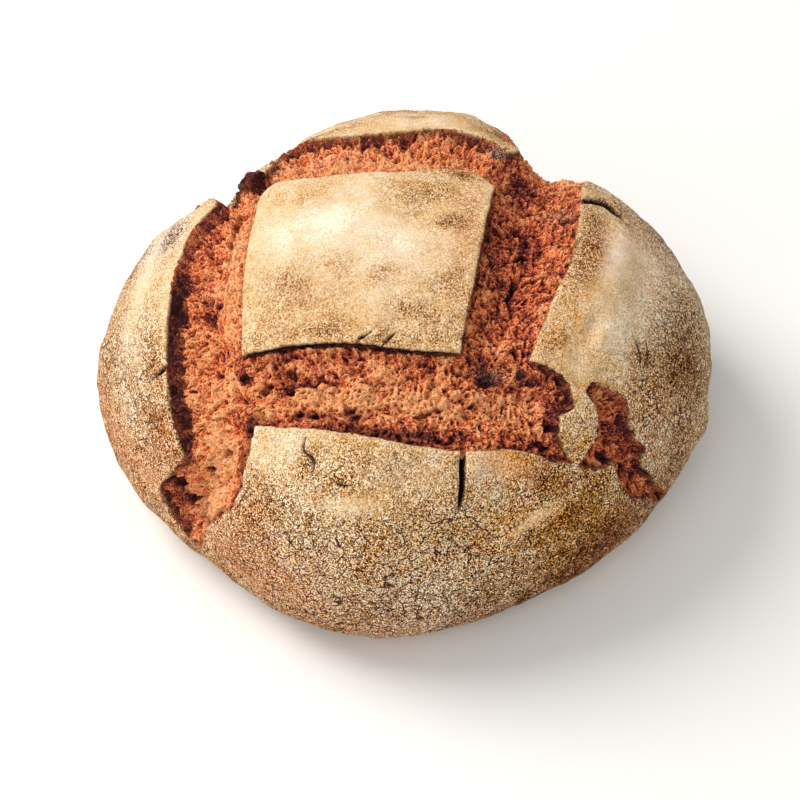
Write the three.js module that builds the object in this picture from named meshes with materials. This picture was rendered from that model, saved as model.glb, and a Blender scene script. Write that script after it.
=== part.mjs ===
// Rye bread loaf: a round hearth loaf, floured, cut with a cross-hatch of four scores that
// opened in the oven into broad grooves of torn crumb. It is one solid. Millimetres, +Z up.
// The origin is under the middle of the loaf, on the surface it stands on. +X runs to the
// loaf's right and is its longest way, +Y runs to its back.
import * as THREE from 'three';
import { mergeVertices } from 'three/addons/utils/BufferGeometryUtils.js';

// ---- driving dimensions ---------------------------------------------------------------
const BELLY_RADIUS = 117.5; // mean radius at the widest height
const HEIGHT = 113.5; // crown above the base, before relief
const BELLY_Z = 27.5; // height of the widest ring
const BASE_RATIO = 0.835; // flat foot over belly radius
const CROWN_POWER = 2.4; // roundness of the shoulder, plan way
const DOME_POWER = 2.25; // roundness of the shoulder, height way
const MAP_RADIUS = 125; // radius the surface map is measured with
// Out-of-round of the outline in mm: [waves round the loaf, cosine part, sine part].
const OUTLINE = [[2, 2.9, 2.1], [3, 0.1, -1.8], [4, 5.7, -0.4], [5, -0.7, 1.9], [6, -0.7, 0.9]];
const CENTRE_X = 0.3; // moves the outline's box to the middle of the frame
const CENTRE_Y = -3.4;

const GROOVE_DEPTH = 9.5; // valley of the left, right and back grooves below the dome
const FRONT_DEPTH = 7.5; // valley of the shallow front groove
const GROOVE_HALF = 13; // distance from a rim to full depth
const NOTCH_HALF = 3.5; // the same where the left groove runs over the back edge
const GROOVE_POWER = 1.2; // how the groove's sides curve on the way down; 1 is straight
const WALL = 1.3; // width of the step from a crust rim down to the crumb
const WALL_CORE = 0.8; // width over which the crumb starts to fall away at the step's foot
const LIP_REACH = 7; // how far back from its rim a plate's lip fades
const RIM_BLEND = 2.5; // how far the values of neighbouring rims run into each other
const CRUMB_LUMP = 1.3; // relief of the torn crumb
const CRUST_LUMP = 0.7; // slow lumps of the crust
const SMALL_LUMP = 0.35; // its smaller lumps
const RELIEF_END = 172; // map length at which the relief starts to fade towards the foot
const RELIEF_FADE = 30;

// Mesh sizes in mm of map length.
const FINE = 2.2; // along the rims
const SPLIT_FINE = 1.9; // along the narrow splits
const FLOOR_SIZE = 4.0; // groove floors
const TOP_SIZE = 6.9; // crust near the grooves
const FAR_SIZE = 11.5; // sides and base
const MIN_THICK = 0.55; // no face is drawn thinner than this when points are set on a rim

// ---- the map --------------------------------------------------------------------------
// A place on the skin is (u, v): the way round is its direction, and its length is the arc
// length from the crown down the mean profile. The rims of the cuts are drawn in it.
const profile = { arc: [0], rho: [0], z: [HEIGHT] };
const STEPS = 900;
const addProfile = (rho, z) => {
  const n = profile.arc.length - 1;
  const run = Math.hypot((rho - profile.rho[n]) * MAP_RADIUS, z - profile.z[n]);
  profile.arc.push(profile.arc[n] + run);
  profile.rho.push(rho);
  profile.z.push(z);
};
for (let i = 1; i <= STEPS; i++) {
  const a = (i / STEPS) * Math.PI / 2;
  addProfile(Math.sin(a) ** (2 / CROWN_POWER),
    BELLY_Z + (HEIGHT - BELLY_Z) * Math.max(0, Math.cos(a)) ** (2 / DOME_POWER));
}
for (let i = 1; i <= STEPS; i++) {
  const a = (i / STEPS) * Math.PI / 2;
  addProfile(BASE_RATIO + (1 - BASE_RATIO) * Math.cos(a), BELLY_Z * (1 - Math.sin(a)));
}
const FOOT_ARC = profile.arc[profile.arc.length - 1];
addProfile(0, 0);
const END_ARC = profile.arc[profile.arc.length - 1];

function along(arc) {
  let lo = 0;
  let hi = profile.arc.length - 1;
  while (hi - lo > 1) {
    const mid = (lo + hi) >> 1;
    if (profile.arc[mid] <= arc) lo = mid;
    else hi = mid;
  }
  const t = (arc - profile.arc[lo]) / (profile.arc[hi] - profile.arc[lo]);
  return [profile.rho[lo] + t * (profile.rho[hi] - profile.rho[lo]),
    profile.z[lo] + t * (profile.z[hi] - profile.z[lo])];
}

// The smooth loaf, before cuts and relief.
function skin(u, v) {
  const arc = Math.hypot(u, v);
  const turn = Math.atan2(v, u);
  const [rho, z] = along(Math.min(arc, END_ARC));
  let bulge = 0;
  for (const [waves, c, s] of OUTLINE) {
    bulge += c * Math.cos(waves * turn) + s * Math.sin(waves * turn);
  }
  const r = rho * (BELLY_RADIUS + bulge * rho * rho);
  return new THREE.Vector3(r * Math.cos(turn) + CENTRE_X, r * Math.sin(turn) + CENTRE_Y, z);
}

// ---- the rims of the cuts -------------------------------------------------------------
// Each rim is a smooth curve through a few places. step is the height of the crust's broken
// edge above the crumb beside it, lip how far the crust turns up (+) or rolls down (-) there.
const RIMS = {
  leftPlateBack: { step: 5.0, lip: 1.0, at: [[-130, 98], [-108, 68], [-84, 42], [-91, 22],
    [-96, -5]] },
  leftPlate: { step: 5.5, lip: 1.0, at: [[-96, -5], [-99, -30], [-102, -55], [-103, -70],
    [-103, -84]] },
  leftTear: { step: 3.0, lip: 0.6, at: [[-103, -84], [-113, -87], [-126, -89], [-131, -99],
    [-128, -111], [-122, -124]] },
  frontLeft: { step: 1.2, lip: -1.2, at: [[-122, -124], [-112, -118.5], [-101, -115],
    [-89, -112.5], [-80, -108], [-74, -101], [-68, -89], [-64, -80]] },
  frontPlate: { step: 1.6, lip: -1.4, at: [[-64, -80], [-47, -83], [-30, -85.5], [-14, -88.5],
    [5, -93], [23, -95.5], [44, -94], [57, -94.5], [65, -96.5], [73, -94.5]] },
  bridge: { step: 4.5, lip: 0.6, at: [[73, -94.5], [69, -90], [65, -84], [64.5, -77],
    [70, -71.5], [69, -66], [63, -60], [56, -57], [50, -56]] },
  rightPlate: { step: 0.8, lip: -1.8, at: [[50, -56], [55, -37], [60, -23], [66, -6],
    [71, 17], [75, 36], [81, 58], [91, 85], [104, 138]] },
  backRight: { step: 4.5, lip: 0.6, at: [[104, 138], [76, 132], [56, 116], [48, 98], [49, 82],
    [51, 69]] },
  backPlate: { step: 4.0, lip: 1.4, at: [[51, 69], [45, 63], [38, 70], [22, 73.5], [2, 69.5],
    [-18, 69], [-37, 75], [-50, 80], [-59, 74], [-63, 63], [-67, 52], [-73, 46]] },
  backLeft: { step: 4.5, lip: 0.6, at: [[-73, 46], [-76.5, 52], [-76.5, 64], [-79, 80],
    [-96, 98], [-130, 98]] },
};
const SQUARE = {
  squareBack: { step: 1.8, lip: -2.0, at: [[-64, 33], [-62, 42], [-55, 46.5], [-37, 43],
    [-12, 42], [1, 41.5], [14, 45], [24, 44], [33, 41], [37, 34]] },
  squareRight: { step: 5.5, lip: 0.2, at: [[37, 34], [33, 15], [29, -7], [26, -25],
    [23, -42], [21, -56]] },
  squareFront: { step: 4.2, lip: 0.6, at: [[21, -56], [0, -54.5], [-22, -51], [-45, -50],
    [-68, -50]] },
  squareLeft: { step: 1.2, lip: -1.6, at: [[-68, -50], [-67, -32], [-66, -10], [-64.5, 12],
    [-64, 33]] },
};
const HOLE = {
  holeInner: { step: 4.0, lip: 0.3, at: [[101, -94], [95, -90], [88, -94], [78, -95],
    [80, -87], [83, -80], [80, -69], [74, -64]] },
  holeBack: { step: 5.0, lip: 0.6, at: [[74, -64], [79, -59], [88, -59.5], [95, -62],
    [99, -70], [106, -75.5], [112, -77], [114, -83], [124, -86], [140, -86.5], [160, -82]] },
  holeFront: { step: 2.0, lip: -0.6, at: [[160, -82], [151, -90], [140, -92.5], [124, -98],
    [110, -98.5], [101, -94]] },
};
// Slow swellings and hollows of the crust: height, place, half width, half length and the
// way the length runs.
const SWELLS = [
  [1.2, -22, -4, 32, 38, 0], // the pillowed square
  [0.9, -48, 97, 14, 14, 0], // the back plate's two shoulders
  [2.0, 36, 101, 13, 16, 0],
  [-4.0, 56, 92, 12, 16, 0], // where it droops to its two ends
  [-2.2, -62, 82, 12, 16, 0.8],
  [-3.5, -84, 78, 12, 20, 2.3],
  [1.3, -112, 38, 14, 15, 0], // the left plate
  [-1.6, -100, 58, 10, 14, 0],
  [1.0, -115, -30, 14, 40, 1.6],
  [1.9, -150, -84, 18, 26, 2.1],
  [-1.2, -111, -131, 16, 20, 2.4],
  [0.8, 97, 62, 14, 22, 2.4], // the right plate
  [1.3, 87, 72, 8, 9, 0],
  [-1.1, 98, -6, 9, 16, 1.3],
  [3.0, 167, -34, 9, 10, 0],
  [-1.0, 142, -97, 10, 20, 0.9],
  [1.1, 66, -112, 7, 30, 2.5], // the ridge across the front and the hollow before it
  [-1.3, 20, -128, 9, 26, 2.5],
  [0.9, -40, -104, 8, 22, -0.2],
  [-0.9, -40, -30, 9, 16, 0.3], // a dent in the square
];
// Where the floor of a groove lies higher (+) or lower (-), in the same form.
const FLOORS = [
  [-3.2, -86, 64, 16, 26, 2.3], // the left groove, where it runs over the back edge
  [-2.5, -79, 74, 7, 10, 0],
  [2.6, 70, 54, 13, 18, 0.8], // the right groove, where it meets the back one
];
// Narrow splits in the crust.
const SPLITS = [
  { depth: 6, half: 1.5, at: [[24, -94], [23, -101], [23.3, -109], [22.5, -118]] },
  { depth: 4.5, half: 1.5, at: [[71, 37.5], [78, 39.5], [86, 41], [94, 34.5]] },
  { depth: 2.6, half: 1.0, at: [[-97, -45], [-101, -44], [-108, -45.5]] },
  { depth: 2.6, half: 1.0, at: [[-20, -51.5], [-18, -49.5], [-14, -47]] },
  { depth: 2.6, half: 1.0, at: [[-10, -53], [-7, -49.5], [-4, -46.5]] },
];

// A rounded curve through places, as short straight runs.
function curve(at, cuts = 5) {
  const out = [];
  const get = (i) => at[Math.max(0, Math.min(at.length - 1, i))];
  for (let i = 0; i < at.length - 1; i++) {
    const [a, b, c, d] = [get(i - 1), get(i), get(i + 1), get(i + 2)];
    for (let k = 0; k < cuts; k++) {
      const t = k / cuts;
      const w = [0, 1].map((x) => 0.5 * (2 * b[x] + (c[x] - a[x]) * t
        + (2 * a[x] - 5 * b[x] + 4 * c[x] - d[x]) * t * t
        + (3 * b[x] - a[x] - 3 * c[x] + d[x]) * t * t * t));
      out.push(w);
    }
  }
  out.push(at[at.length - 1]);
  return out;
}

function ring(rims) {
  const list = Object.values(rims).map((r) => ({ step: r.step, lip: r.lip, line: curve(r.at) }));
  return { list, all: list.flatMap((r) => r.line.slice(0, -1)) };
}
const outerRing = ring(RIMS);
const squareRing = ring(SQUARE);
const holeRing = ring(HOLE);
const splits = SPLITS.map((s) => ({ ...s, line: curve(s.at) }));

function toLine(u, v, line) {
  let best = 1e9;
  for (let i = 0; i < line.length - 1; i++) {
    const [ax, ay] = line[i];
    const dx = line[i + 1][0] - ax;
    const dy = line[i + 1][1] - ay;
    const t = Math.max(0, Math.min(1, ((u - ax) * dx + (v - ay) * dy) / (dx * dx + dy * dy)));
    const q = (u - ax - t * dx) ** 2 + (v - ay - t * dy) ** 2;
    if (q < best) best = q;
  }
  return Math.sqrt(best);
}

function inside(u, v, pts) {
  let odd = false;
  for (let i = 0, j = pts.length - 1; i < pts.length; j = i++) {
    const [xi, yi] = pts[i];
    const [xj, yj] = pts[j];
    if (yi > v !== yj > v && u < ((xj - xi) * (v - yi)) / (yj - yi) + xi) odd = !odd;
  }
  return odd;
}

const smooth = (t) => {
  const x = Math.max(0, Math.min(1, t));
  return x * x * (3 - 2 * x);
};

// Where a place lies against the cuts: d is the distance to the nearest rim, positive in a
// groove, and step and lip are those of the rims near by.
function cutsAt(u, v) {
  const near = [];
  for (const r of [outerRing, squareRing, holeRing]) {
    for (const rim of r.list) near.push([toLine(u, v, rim.line), rim.step, rim.lip]);
  }
  const nearest = Math.min(...near.map((n) => n[0]));
  let sum = 0;
  let step = 0;
  let lip = 0;
  for (const [d, s, l] of near) {
    const w = Math.exp((nearest - d) / RIM_BLEND);
    sum += w;
    step += w * s;
    lip += w * l;
  }
  const open = (inside(u, v, outerRing.all) && !inside(u, v, squareRing.all))
    || inside(u, v, holeRing.all);
  return { d: open ? nearest : -nearest, step: step / sum, lip: lip / sum };
}

// Slow, repeatable unevenness: a few crossed waves, about -1 to 1.
function lumps(u, v, length, shift) {
  let sum = 0;
  for (let k = 0; k < 6; k++) {
    const way = 1.3 + 2.399963 * k + shift;
    const freq = ((2 * Math.PI) / length) * (0.75 + 0.13 * ((k * 5 + 2) % 6));
    sum += Math.sin(freq * (u * Math.cos(way) + v * Math.sin(way)) + 1.7 * k * k + 3.1 * shift);
  }
  return sum / 3;
}

// Soft round hills and hollows added up.
function spread(patches, u, v) {
  let sum = 0;
  for (const [high, cu, cv, wide, long, way] of patches) {
    const a = ((u - cu) * Math.cos(way) + (v - cv) * Math.sin(way)) / long;
    const b = ((v - cv) * Math.cos(way) - (u - cu) * Math.sin(way)) / wide;
    sum += high * Math.exp(-a * a - b * b);
  }
  return sum;
}

// The torn crumb in the grooves.
function crumbHeight(u, v, { d, step, lip }) {
  const front = smooth((30 - u) / 40 + 1) * smooth((-38 - v) / 14) * smooth((u + 78) / 16);
  const notch = smooth((v - 36) / 14) * smooth((-56 - u) / 14);
  const deep = GROOVE_DEPTH + (FRONT_DEPTH - GROOVE_DEPTH) * front - spread(FLOORS, u, v);
  const half = GROOVE_HALF + (NOTCH_HALF - GROOVE_HALF) * notch;
  const run = Math.min(1, d / half) ** GROOVE_POWER;
  const fall = (Math.max(deep, step - lip + 1) - (step - lip)) * run;
  const torn = 0.75 * lumps(u, v, 15, 0.4) + 0.5 * lumps(u, v, 8, 2);
  return lip - step * smooth(d / WALL) - fall * smooth((d - 0.3) / WALL_CORE)
    + CRUMB_LUMP * torn * smooth((d - 1) / 4);
}

// The floured crust of the plates between the grooves.
function crustHeight(u, v, { d, lip }) {
  return lip * Math.exp(d / LIP_REACH) + CRUST_LUMP * lumps(u, v, 46, 0.9) * smooth(-d / 14)
    + SMALL_LUMP * lumps(u, v, 19, 1.7) * smooth(-d / 8);
}

// Height of the real surface over the smooth loaf, along its normal.
function relief(u, v) {
  const cut = cutsAt(u, v);
  const onCrust = smooth(0.5 - cut.d / 3);
  let h = cut.d > 0 ? crumbHeight(u, v, cut) : crustHeight(u, v, cut);
  h += onCrust * spread(SWELLS, u, v);
  for (const { depth, half, line } of splits) {
    h -= onCrust * depth * Math.exp(-((toLine(u, v, line) / half) ** 2));
  }
  return h * (1 - smooth((Math.hypot(u, v) - RELIEF_END) / RELIEF_FADE));
}

// ---- the mesh -------------------------------------------------------------------------
// The wanted length of an edge about a place.
function wanted(u, v) {
  const d = cutsAt(u, v).d;
  const rim = Math.abs(d);
  let size = d > 0 ? FLOOR_SIZE : TOP_SIZE + (FAR_SIZE - TOP_SIZE) * smooth((-d - 12) / 45);
  size = Math.min(size, FINE + Math.max(0, rim - 1.6) * 0.75);
  const split = Math.min(...splits.map(({ line }) => toLine(u, v, line)));
  return Math.min(size, SPLIT_FINE + Math.max(0, split - 1.5) * 0.8);
}

// A round start mesh whose points are placed on the map, then split until fine enough.
const start = mergeVertices(
  (() => {
    const g = new THREE.IcosahedronGeometry(1, 9);
    g.deleteAttribute('normal');
    g.deleteAttribute('uv');
    return g;
  })(), 1e-5);
const places = [];
for (let i = 0; i < start.attributes.position.count; i++) {
  const p = new THREE.Vector3().fromBufferAttribute(start.attributes.position, i).normalize();
  const arc = (Math.acos(Math.max(-1, Math.min(1, p.z))) / Math.PI) * END_ARC;
  const turn = Math.atan2(p.y, p.x);
  places.push([arc * Math.cos(turn), arc * Math.sin(turn)]);
}
let faces = [];
for (let i = 0; i < start.index.count; i += 3) {
  faces.push([start.index.getX(i), start.index.getX(i + 1), start.index.getX(i + 2)]);
}

const smoothAt = places.map(([u, v]) => skin(u, v));
function middle(a, b) {
  return [(places[a][0] + places[b][0]) / 2, (places[a][1] + places[b][1]) / 2];
}

for (let pass = 0; pass < 6; pass++) {
  const split = new Map();
  const key = (a, b) => (a < b ? a * 1e6 + b : b * 1e6 + a);
  for (const f of faces) {
    for (let k = 0; k < 3; k++) {
      const a = f[k];
      const b = f[(k + 1) % 3];
      const id = key(a, b);
      if (split.has(id)) continue;
      const [u, v] = middle(a, b);
      const long = smoothAt[a].distanceTo(smoothAt[b]);
      const onBase = Math.max(Math.hypot(...places[a]), Math.hypot(...places[b])) > FOOT_ARC;
      split.set(id, !onBase && long > 1.42 * wanted(u, v) ? [u, v] : null);
    }
  }
  const made = new Map();
  for (const [id, place] of split) {
    if (!place) continue;
    made.set(id, places.length);
    places.push(place);
    smoothAt.push(skin(place[0], place[1]));
  }
  if (!made.size) break;
  const next = [];
  for (const [a, b, c] of faces) {
    const ab = made.get(key(a, b));
    const bc = made.get(key(b, c));
    const ca = made.get(key(c, a));
    const marks = (ab !== undefined) + (bc !== undefined) + (ca !== undefined);
    if (marks === 0) next.push([a, b, c]);
    else if (marks === 3) next.push([a, ab, ca], [ab, b, bc], [ca, bc, c], [ab, bc, ca]);
    else {
      // turn the face so that its first edge is the split one, or the unsplit one of two
      let [p, q, r, pq, qr, rp] = [a, b, c, ab, bc, ca];
      const first = marks === 1 ? () => pq !== undefined : () => pq === undefined;
      while (!first()) [p, q, r, pq, qr, rp] = [q, r, p, qr, rp, pq];
      if (marks === 1) next.push([p, pq, r], [pq, q, r]);
      else if (smoothAt[p].distanceTo(smoothAt[qr]) < smoothAt[q].distanceTo(smoothAt[rp])) {
        next.push([p, q, qr], [p, qr, rp], [rp, qr, r]);
      } else next.push([p, q, rp], [q, qr, rp], [rp, qr, r]);
    }
  }
  faces = next;
}

// Points near a rim are drawn onto it, so that the crust's edge runs clean.
const pull = (at, level, reach) => {
  const e = 0.05;
  const [u, v] = at;
  const d = cutsAt(u, v).d - level;
  if (Math.abs(d) > reach) return at;
  const gu = (cutsAt(u + e, v).d - cutsAt(u - e, v).d) / (2 * e);
  const gv = (cutsAt(u, v + e).d - cutsAt(u, v - e).d) / (2 * e);
  const g = gu * gu + gv * gv;
  if (g < 0.6) return at;
  return [u - (d * gu) / g, v - (d * gv) / g];
};
const facesAt = places.map(() => []);
for (const f of faces) for (const i of f) facesAt[i].push(f);
// The thinnest way across a face, negative if it has turned over.
function thickness([a, b, c]) {
  const [[ax, ay], [bx, by], [cx, cy]] = [places[a], places[b], places[c]];
  const twice = (bx - ax) * (cy - ay) - (by - ay) * (cx - ax);
  const long = Math.max(Math.hypot(bx - ax, by - ay), Math.hypot(cx - bx, cy - by),
    Math.hypot(ax - cx, ay - cy));
  return twice / long;
}
for (let i = 0; i < places.length; i++) {
  const was = places[i];
  if (Math.hypot(...was) > FOOT_ARC - 10) continue;
  const { d } = cutsAt(...was);
  if (Math.abs(d) > 3) continue;
  places[i] = d < 0.62 ? pull(was, 0, 0.8) : pull(was, WALL + 0.1, 0.8);
  if (facesAt[i].some((f) => thickness(f) < MIN_THICK)) places[i] = was;
}

const positions = new Float32Array(places.length * 3);
places.forEach(([u, v], i) => {
  const p = skin(u, v);
  if (Math.hypot(u, v) < FOOT_ARC - 0.5) {
    const e = 0.2;
    const along1 = skin(u + e, v).sub(skin(u - e, v));
    const along2 = skin(u, v + e).sub(skin(u, v - e));
    p.addScaledVector(along1.cross(along2).normalize(), relief(u, v));
    p.z = Math.max(0, p.z);
  } else p.z = 0;
  positions.set([p.x, p.y, p.z], i * 3);
});

const geometry = new THREE.BufferGeometry();
geometry.setAttribute('position', new THREE.BufferAttribute(positions, 3));
geometry.setIndex(faces.flat());
geometry.computeVertexNormals();

const loaf = new THREE.Mesh(geometry, new THREE.MeshStandardMaterial({
  color: 0xc59a66, roughness: 0.85, metalness: 0,
}));
loaf.name = 'loaf';

const bread = new THREE.Group();
bread.name = 'rye_bread_loaf';
bread.add(loaf);

export default bread;
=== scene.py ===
"""Rye bread loaf: floured hearth crust with a cross-hatch of scores opened to the torn crumb.

The loaf's solid is drawn again as its crust, one piece, and the crumb that shows in the grooves,
four pieces. All are worked out on one map of the loaf's skin, in millimetres, and placed in metres.
"""
import itertools
import math

import bmesh
import bpy
import numpy as np
from mathutils import Matrix, Vector


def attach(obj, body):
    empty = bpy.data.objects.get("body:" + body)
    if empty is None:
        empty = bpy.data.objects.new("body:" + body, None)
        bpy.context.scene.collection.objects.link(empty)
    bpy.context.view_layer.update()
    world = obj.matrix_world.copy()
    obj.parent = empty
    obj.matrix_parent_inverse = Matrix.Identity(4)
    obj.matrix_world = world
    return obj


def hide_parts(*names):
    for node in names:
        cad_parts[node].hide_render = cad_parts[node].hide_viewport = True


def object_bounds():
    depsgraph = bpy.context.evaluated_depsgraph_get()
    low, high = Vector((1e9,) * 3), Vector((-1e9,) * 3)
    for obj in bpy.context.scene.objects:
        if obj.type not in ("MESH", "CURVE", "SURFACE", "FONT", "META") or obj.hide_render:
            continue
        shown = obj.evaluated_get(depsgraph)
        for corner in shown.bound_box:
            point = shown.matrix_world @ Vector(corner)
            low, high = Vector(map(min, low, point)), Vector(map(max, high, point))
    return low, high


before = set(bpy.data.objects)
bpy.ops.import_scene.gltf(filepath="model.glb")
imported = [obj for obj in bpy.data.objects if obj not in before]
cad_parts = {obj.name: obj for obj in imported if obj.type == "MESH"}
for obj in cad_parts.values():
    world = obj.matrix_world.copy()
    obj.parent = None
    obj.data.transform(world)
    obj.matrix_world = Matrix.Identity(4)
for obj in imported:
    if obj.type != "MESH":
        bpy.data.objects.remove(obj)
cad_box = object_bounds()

MM = 0.001

# ---- the loaf's form, mm: the same named values as the solid's ----------------------------
BELLY_RADIUS = 117.5
HEIGHT = 113.5
BELLY_Z = 27.5
BASE_RATIO = 0.835
CROWN_POWER = 2.4
DOME_POWER = 2.25
MAP_RADIUS = 125.0
OUTLINE = ((2, 2.9, 2.1), (3, 0.1, -1.8), (4, 5.7, -0.4), (5, -0.7, 1.9), (6, -0.7, 0.9))
CENTRE = (0.3, -3.4)
GROOVE_DEPTH = 9.5
FRONT_DEPTH = 7.5
GROOVE_HALF = 13.0
CRUST_LUMP = 0.7

# Rims of the cuts as places on the map. step: height of the broken edge over the crumb beside
# it. lip: how far the crust turns up (+) or rolls down (-). reach: how far out from the rim the
# crumb has fallen by the step; below 0 the rim is undercut. toast and shade: how dark the broken
# edge and the crumb beside it are coloured: baked dark, and painted shade where a rim's wall faces
# away from the lamp or a high rim shadows the crumb below it, most along the left plate and the
# square's right and front edges. rag: how ragged the edge is.
RIMS = (
    # left plate, back
    dict(step=5.0, lip=1.0, reach=3.5, toast_and_shade=0.55, rag=0.3, at=(
        (-130, 98), (-108, 68), (-84, 42), (-91, 22), (-96, -5))),
    # left plate
    dict(step=5.5, lip=1.0, reach=4.0, toast_and_shade=1.0, rag=0.3, at=(
        (-96, -5), (-99, -30), (-102, -55), (-103, -70), (-103, -84))),
    # left tear
    dict(step=3.0, lip=0.6, reach=1.5, toast_and_shade=0.7, rag=1.2, at=(
        (-103, -84), (-113, -87), (-126, -89), (-131, -99), (-128, -111), (-122, -124))),
    # front plate, left
    dict(step=1.2, lip=-1.2, reach=0.8, toast_and_shade=0.3, rag=0.8, at=(
        (-122, -124), (-112, -118.5), (-101, -115), (-89, -112.5), (-80, -108), (-74, -101),
        (-68, -89), (-64, -80))),
    # front plate
    dict(step=1.6, lip=-1.4, reach=0.8, toast_and_shade=0.3, rag=0.35, at=(
        (-64, -80), (-47, -83), (-30, -85.5), (-14, -88.5), (5, -93), (23, -95.5), (44, -94),
        (57, -94.5), (65, -96.5), (73, -94.5))),
    # bridge
    dict(step=4.5, lip=0.6, reach=2.2, toast_and_shade=0.7, rag=1.0, at=(
        (73, -94.5), (69, -90), (65, -84), (64.5, -77), (70, -71.5), (69, -66), (63, -60),
        (56, -57), (50, -56))),
    # right plate
    dict(step=0.8, lip=-1.8, reach=0.6, toast_and_shade=0.1, rag=0.25, at=(
        (50, -56), (55, -37), (60, -23), (66, -6), (71, 17), (75, 36), (81, 58), (91, 85),
        (104, 138))),
    # back plate, right
    dict(step=4.5, lip=0.6, reach=2.0, toast_and_shade=0.6, rag=1.4, at=(
        (104, 138), (76, 132), (56, 116), (48, 98), (49, 82), (51, 69))),
    # back plate
    dict(step=4.0, lip=1.4, reach=2.0, toast_and_shade=0.6, rag=1.0, at=(
        (51, 69), (45, 63), (38, 70), (22, 73.5), (2, 69.5), (-18, 69), (-37, 75), (-50, 80),
        (-59, 74), (-63, 63), (-67, 52), (-73, 46))),
    # back plate, left
    dict(step=4.5, lip=0.6, reach=0.6, toast_and_shade=0.9, rag=1.4, at=(
        (-73, 46), (-76.5, 52), (-76.5, 64), (-79, 80), (-96, 98), (-130, 98))),
)
SQUARE = (
    # square, back
    dict(step=1.8, lip=-2.0, reach=0.8, toast_and_shade=0.2, rag=0.3, at=(
        (-64, 33), (-62, 42), (-55, 46.5), (-37, 43), (-12, 42), (1, 41.5), (14, 45), (24, 44),
        (33, 41), (37, 34))),
    # square, right
    dict(step=5.5, lip=0.2, reach=1.5, toast_and_shade=0.45, rag=0.35, at=(
        (37, 34), (33, 15), (29, -7), (26, -25), (23, -42), (21, -56))),
    # square, front
    dict(step=4.2, lip=0.6, reach=-1.2, toast_and_shade=1.1, rag=0.45, at=(
        (21, -56), (0, -54.5), (-22, -51), (-45, -50), (-68, -50))),
    # square, left
    dict(step=1.2, lip=-1.6, reach=0.8, toast_and_shade=0.1, rag=0.3, at=(
        (-68, -50), (-67, -32), (-66, -10), (-64.5, 12), (-64, 33))),
)
HOLE = (
    # hole, inner
    dict(step=4.0, lip=0.3, reach=1.2, toast_and_shade=0.5, rag=1.3, at=(
        (101, -94), (95, -90), (88, -94), (78, -95), (80, -87), (83, -80), (80, -69), (74, -64))),
    # hole, back
    dict(step=5.0, lip=0.6, reach=2.0, toast_and_shade=0.5, rag=1.2, at=(
        (74, -64), (79, -59), (88, -59.5), (95, -62), (99, -70), (106, -75.5), (112, -77),
        (114, -83), (124, -86), (140, -86.5), (160, -82))),
    # hole, front
    dict(step=2.0, lip=-0.6, reach=1.0, toast_and_shade=0.45, rag=1.2, at=(
        (160, -82), (151, -90), (140, -92.5), (124, -98), (110, -98.5), (101, -94))),
)
# Narrow splits in the crust: the line, depth and half width.
SPLITS = (
    (((24, -94), (23, -101), (23.3, -109), (22.5, -118)), 7.0, 0.9),
    (((71, 37.5), (78, 39.5), (86, 41), (94, 34.5)), 6.0, 1.6),
    (((94, -33), (98, -37), (99, -43)), 1.8, 0.6),
    (((101, -32), (103, -38), (101, -44)), 1.5, 0.5),
    (((106, -50), (111, -54), (113, -60)), 1.5, 0.5),
    (((-41, -87), (-42, -92), (-38, -96), (-39, -101)), 1.4, 0.5),
    (((-31, -103), (-27, -106), (-22, -106)), 1.3, 0.5),
    (((-97, -45), (-101, -44), (-108, -45.5)), 3.0, 0.9),
    (((-20, -51.5), (-18, -49.5), (-14, -47)), 2.4, 0.6),
    (((-10, -53), (-7, -49.5), (-4, -46.5)), 2.0, 0.5),
)
# Slow swellings and hollows, mm: height, place, half width, half length, way of the length.
SWELLS = (
    (1.2, -22, -4, 32, 38, 0.0), (0.9, -48, 97, 14, 14, 0.0), (2.0, 36, 101, 13, 16, 0.0),
    (-4.0, 56, 92, 12, 16, 0.0), (-2.2, -62, 82, 12, 16, 0.8), (-3.5, -84, 78, 12, 20, 2.3),
    (1.3, -112, 38, 14, 15, 0.0), (-1.6, -100, 58, 10, 14, 0.0), (1.0, -115, -30, 14, 40, 1.6),
    (1.9, -150, -84, 18, 26, 2.1), (-1.2, -111, -131, 16, 20, 2.4), (0.8, 97, 62, 14, 22, 2.4),
    (1.3, 87, 72, 8, 9, 0.0), (-1.1, 98, -6, 9, 16, 1.3), (3.0, 167, -34, 9, 10, 0.0),
    (-1.0, 142, -97, 10, 20, 0.9), (1.1, 66, -112, 7, 30, 2.5), (-1.3, 20, -128, 9, 26, 2.5),
    (0.9, -40, -104, 8, 22, -0.2), (-0.9, -40, -30, 9, 16, 0.3), (1.0, 28, -105, 3.5, 9, 1.5),
    (1.1, 82, 45, 3.2, 10, -0.05), (0.7, 72, -32, 2.2, 8, 1.2), (-0.6, 76, -35, 2.0, 8, 1.2),
    (0.6, 80, -38, 2.2, 8, 1.1), (-0.6, 95, -38, 3.0, 5, 0.9), (0.7, -22, -115, 3.5, 16, -0.15),
    (-0.6, -36, -96, 4.0, 10, 0.9), (-0.5, -46, 22, 3.5, 9, 1.1), (-0.5, -12, -21, 3.0, 8, 0.9),
    (-0.5, 18, 8, 3.5, 8, 0.3), (-0.4, 20, 36, 4.0, 9, -0.1),
)


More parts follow.
